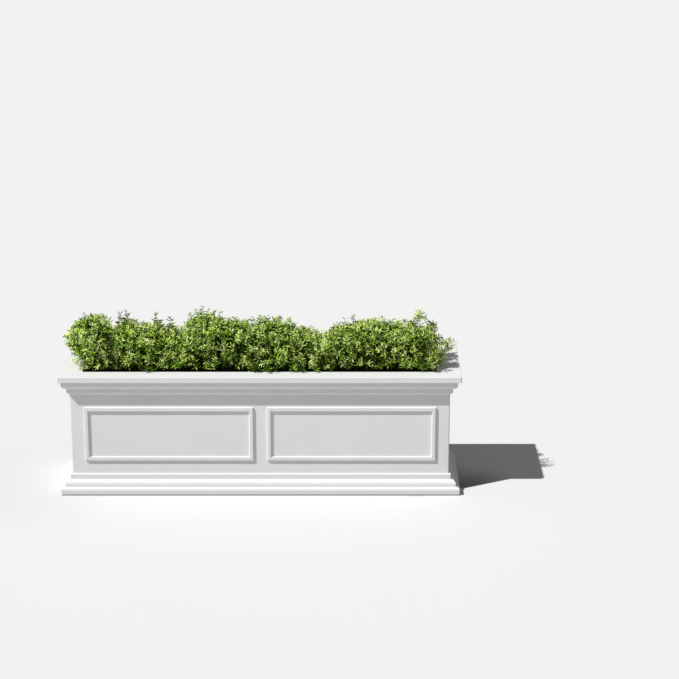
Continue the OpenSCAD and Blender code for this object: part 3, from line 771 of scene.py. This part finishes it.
def bezierHeading(root, knee, tip, t):
    # the curve's direction at t: 2(1-t) (knee - root) + 2t (tip - knee), made one long
    t = t[..., None]
    return unit(2 * (1 - t) * (knee - root) + 2 * t * (tip - knee))


# leaves: lengths in millimetres and angles in radians
leaf = {
    "whorls": 6, "perWhorl": 5, "whorlGap": 4.6, "whorlJitter": 0.6,
    "goldenAngle": 2.399, "turnSpread": 0.25,
    "length": (10.0, 18.0),
    "width": 0.155, "crease": 0.13, "thick": 0.035,    # shares of the length
    "agedAt": 5,                                # whorls from the tip, where a leaf is full grown
    "byAge": (0.55, 0.45),                      # of the length: at the tip, and what age adds
    "open": (0.75, 1.4), "openSpread": 0.14,    # from the stem: at the tip, and full grown
    "roll": 0.35, "droop": 0.2, "droopSpread": 0.12, "curl": 0.6,
    "sprigKept": 0.62, "bushKept": 0.93,        # the share of leaves that a shoot has
    "lowest": 0.04,                             # how near the root one may stand, along the curve
}
# one leaf: u from foot to tip, v across, and w, which goes from 0 at the edge to -1 on the midrib
# and is one less on the midrib's underside
leafPoints = np.array([(0, 0, 0), (0.30, -0.5, 0), (0.30, 0.5, 0), (0.68, -0.37, 0),
                       (0.68, 0.37, 0), (1, 0, 0), (0.30, 0, -1), (0.68, 0, -0.8),
                       (0.30, 0, -2), (0.68, 0, -1.8)])
leafFaces = np.array([(0, 1, 6), (0, 6, 2), (1, 3, 7), (1, 7, 6), (6, 7, 4), (6, 4, 2),
                      (3, 5, 7), (7, 5, 4), (0, 8, 1), (0, 2, 8), (1, 9, 3), (1, 8, 9),
                      (8, 4, 9), (8, 2, 4), (3, 9, 5), (9, 4, 5)])


def growLeaves(root, knee, tip, sprig, rng):
    # whorls along the last stretch of every shoot, each turned by the golden angle; a leaf aims at
    # cos(open) along + sin(open) out, and its point (u, v, w) is
    # base + length (u aim + v width wide + (lift of w - curl bend u^2) face)
    shoots, whorls, each = len(tip), leaf["whorls"], leaf["perWhorl"]
    span = np.linalg.norm(tip - root, axis=1)
    jitter = rng.uniform(0, leaf["whorlJitter"], (shoots, whorls))
    back = (np.arange(whorls) + jitter) * leaf["whorlGap"]
    t = np.clip(1 - back / span[:, None], 0.0, 1.0)
    curve = root[:, None], knee[:, None], tip[:, None]
    base, along = bezier(*curve, t), bezierHeading(*curve, t)
    side = unit(np.cross(along, unit(rng.normal(0, 1, (shoots, 1, 3)))))
    other = np.cross(along, side)
    turn = (np.arange(whorls)[None, :, None] * leaf["goldenAngle"]
            + np.arange(each)[None, None] * 2 * np.pi / each
            + rng.normal(0, leaf["turnSpread"], (shoots, whorls, each)))
    age = np.clip(back / (leaf["whorlGap"] * leaf["agedAt"]), 0, 1)[..., None]
    closed, opened = leaf["open"]
    opening = closed + (opened - closed) * age + rng.normal(0, leaf["openSpread"], turn.shape)
    out = side[:, :, None] * np.cos(turn)[..., None] + other[:, :, None] * np.sin(turn)[..., None]
    aim = along[:, :, None] * np.cos(opening)[..., None] + out * np.sin(opening)[..., None]
    face = along[:, :, None] * np.sin(opening)[..., None] - out * np.cos(opening)[..., None]
    young, grown = leaf["byAge"]
    length = rng.uniform(*leaf["length"], turn.shape) * (young + grown * age)
    kept = np.where(sprig, leaf["sprigKept"], leaf["bushKept"])[:, None, None]
    pick = ((t[..., None] > leaf["lowest"]) & (rng.random(turn.shape) < kept)).ravel()
    base = np.broadcast_to(base[:, :, None], aim.shape)
    base, aim, face = (v.reshape(-1, 3)[pick] for v in (base, aim, face))
    owner = np.arange(shoots)[:, None, None]
    length, age, owner = (np.broadcast_to(v, turn.shape).ravel()[pick]
                          for v in (length, age, owner))
    roll = rng.normal(0, leaf["roll"], len(length))[:, None]
    wide, c, s = np.cross(face, aim), np.cos(roll), np.sin(roll)
    wide, face = wide * c + face * s, face * c - wide * s
    bend = rng.normal(leaf["droop"], leaf["droopSpread"], len(length))
    u, v, w = leafPoints.T
    lift = np.where(w < -1.5, (w + 1) * leaf["crease"] - leaf["thick"], w * leaf["crease"])
    far = u[None] * length[:, None]
    half = v[None] * (length * leaf["width"])[:, None]
    high = (lift[None] - bend[:, None] * u[None] ** 2 * leaf["curl"]) * length[:, None]
    points = (base[:, None] + aim[:, None] * far[..., None] + wide[:, None] * half[..., None]
              + face[:, None] * high[..., None])
    tint = rng.random(len(length))
    return points, owner, tint, age


# stems: radii in millimetres at the root and at the tip
stem = {"low": 0.9, "top": 0.4, "rings": 7, "sides": 3, "upTo": 0.985}


def growStems(root, knee, tip):
    # a three-sided tube along every shoot's curve, its radius low + (top - low) t
    rings, sides = stem["rings"], stem["sides"]
    t = np.broadcast_to(np.linspace(0, stem["upTo"], rings), (len(tip), rings))
    curve = root[:, None], knee[:, None], tip[:, None]
    middle, along = bezier(*curve, t), bezierHeading(*curve, t)
    a = unit(np.cross(along, np.array([0.3, 1.0, 0.2])))    # a direction that no stem follows
    b = np.cross(along, a)
    angle = (np.arange(sides) * 2 * np.pi / sides)[None, None, :, None]
    radius = stem["low"] + (stem["top"] - stem["low"]) * t
    ring = a[:, :, None] * np.cos(angle) + b[:, :, None] * np.sin(angle)
    points = middle[:, :, None] + ring * radius[:, :, None, None]
    last = (rings - 1) * sides
    wall = np.vstack([ringTriangles(rings, sides), [(0, 2, 1)], [(last, last + 1, last + 2)]])
    return points.reshape(len(tip), -1, 3), wall


# rim: what the leaves keep clear of, in millimetres
rim = {
    "top": 285.0, "openX": 401, "openY": 75, "overSoil": 1,
    # the sight line over the front rim falls by the slope from its height at its depth
    "sightZ": 284, "sightY": -76.5, "sightSlope": 0.30, "sightBack": 15,
    "gap": (1.0, 5.0), "gapCell": 24, "gapSeed": 12, "gapShift": 600,
}


def clearOfRim(leaves, owner, shoots):
    # a leaf is left off that cuts the rim, the liner's edge or the soil, and so is one in front
    # whose height over the sight line is less than least + noise (most - least): there one looks
    # into the dark box, except where shoots hang over the rim
    x, y, z = leaves[..., 0], leaves[..., 1], leaves[..., 2]
    cuts = (z < rim["top"]) & ((np.abs(x) > rim["openX"]) | (np.abs(y) > rim["openY"]))
    buried = z < soilTop + rim["overSoil"]
    above = (z - rim["sightZ"] + rim["sightSlope"] * (y - rim["sightY"])).min(1)
    least, most = rim["gap"]
    noise = latticeNoise(x[:, 0] + rim["gapShift"], 0 * owner, rim["gapCell"], rim["gapSeed"])
    clear = least + noise * (most - least)
    hangs = owner >= shoots - hanging
    under = (above < clear) & (y[:, 0] < rim["sightBack"]) & ~hangs
    return ~(cuts | buried).any(1) & ~under


plants = ["plant_%d" % k for k in range(1, 8)]
plantEdges = [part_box(name) for name in plants]
splits = [(left[1].x + right[0].x) / 2 / mm for left, right in zip(plantEdges, plantEdges[1:])]


def makeFoliage():
    # a plant's piece is the shoots whose roots stand between its two splits, leaves first and stems
    # after them; a leaf's tint is (ownShare its own + shootShare its shoot's) times that shoot's
    # factor of painted light and shade
    root, knee, tip, sprig, paintedLightAndShade, rng = growShoots()
    leaves, owner, tint, age = growLeaves(root, knee, tip, sprig, rng)
    stems, stemWall = growStems(root, knee, tip)
    print("planter:", len(tip), "shoots and", len(leaves), "leaves set out")
    free = clearOfRim(leaves, owner, len(tip))
    leaves, owner, tint, age = leaves[free], owner[free], tint[free], age[free]
    shootTint = rng.random(len(tip))[owner]
    tint = (tint * leafTone["ownShare"] + shootTint * leafTone["shootShare"]) * paintedLightAndShade[owner]
    belongs = np.searchsorted(splits, root[:, 0])
    leafMaterial = makeLeafSkin()
    size, stemSize = len(leafPoints), stems.shape[1]
    for k, name in enumerate(plants):
        mine, tubes = belongs[owner] == k, stems[belongs == k]
        n, stemRows = np.count_nonzero(mine), len(tubes) * stemSize
        points = np.vstack([leaves[mine].reshape(-1, 3), tubes.reshape(-1, 3)])
        faces = np.vstack([copyFaces(leafFaces, size, n),
                           copyFaces(stemWall, stemSize, len(tubes)) + n * size])
        values = {
            "leafTint": np.concatenate([np.repeat(tint[mine], size), np.zeros(stemRows)]),
            "leafAge": np.concatenate([np.repeat(age[mine], size), np.ones(stemRows)]),
            "leafAlong": np.concatenate([np.tile(leafPoints[:, 0], n), np.zeros(stemRows)]),
            "stemShare": np.concatenate([np.zeros(n * size), np.ones(stemRows)]),
        }
        piece = makeMesh("foliage%d" % (k + 1), points * mm, faces, values)
        coat(piece, leafMaterial)
        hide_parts(name)
        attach(piece, "planted_liner")
        print("planter:", piece.name, n, "leaves,", len(tubes), "shoots,", len(faces), "triangles")


makeFoliage()
print("planter: foliage grown")
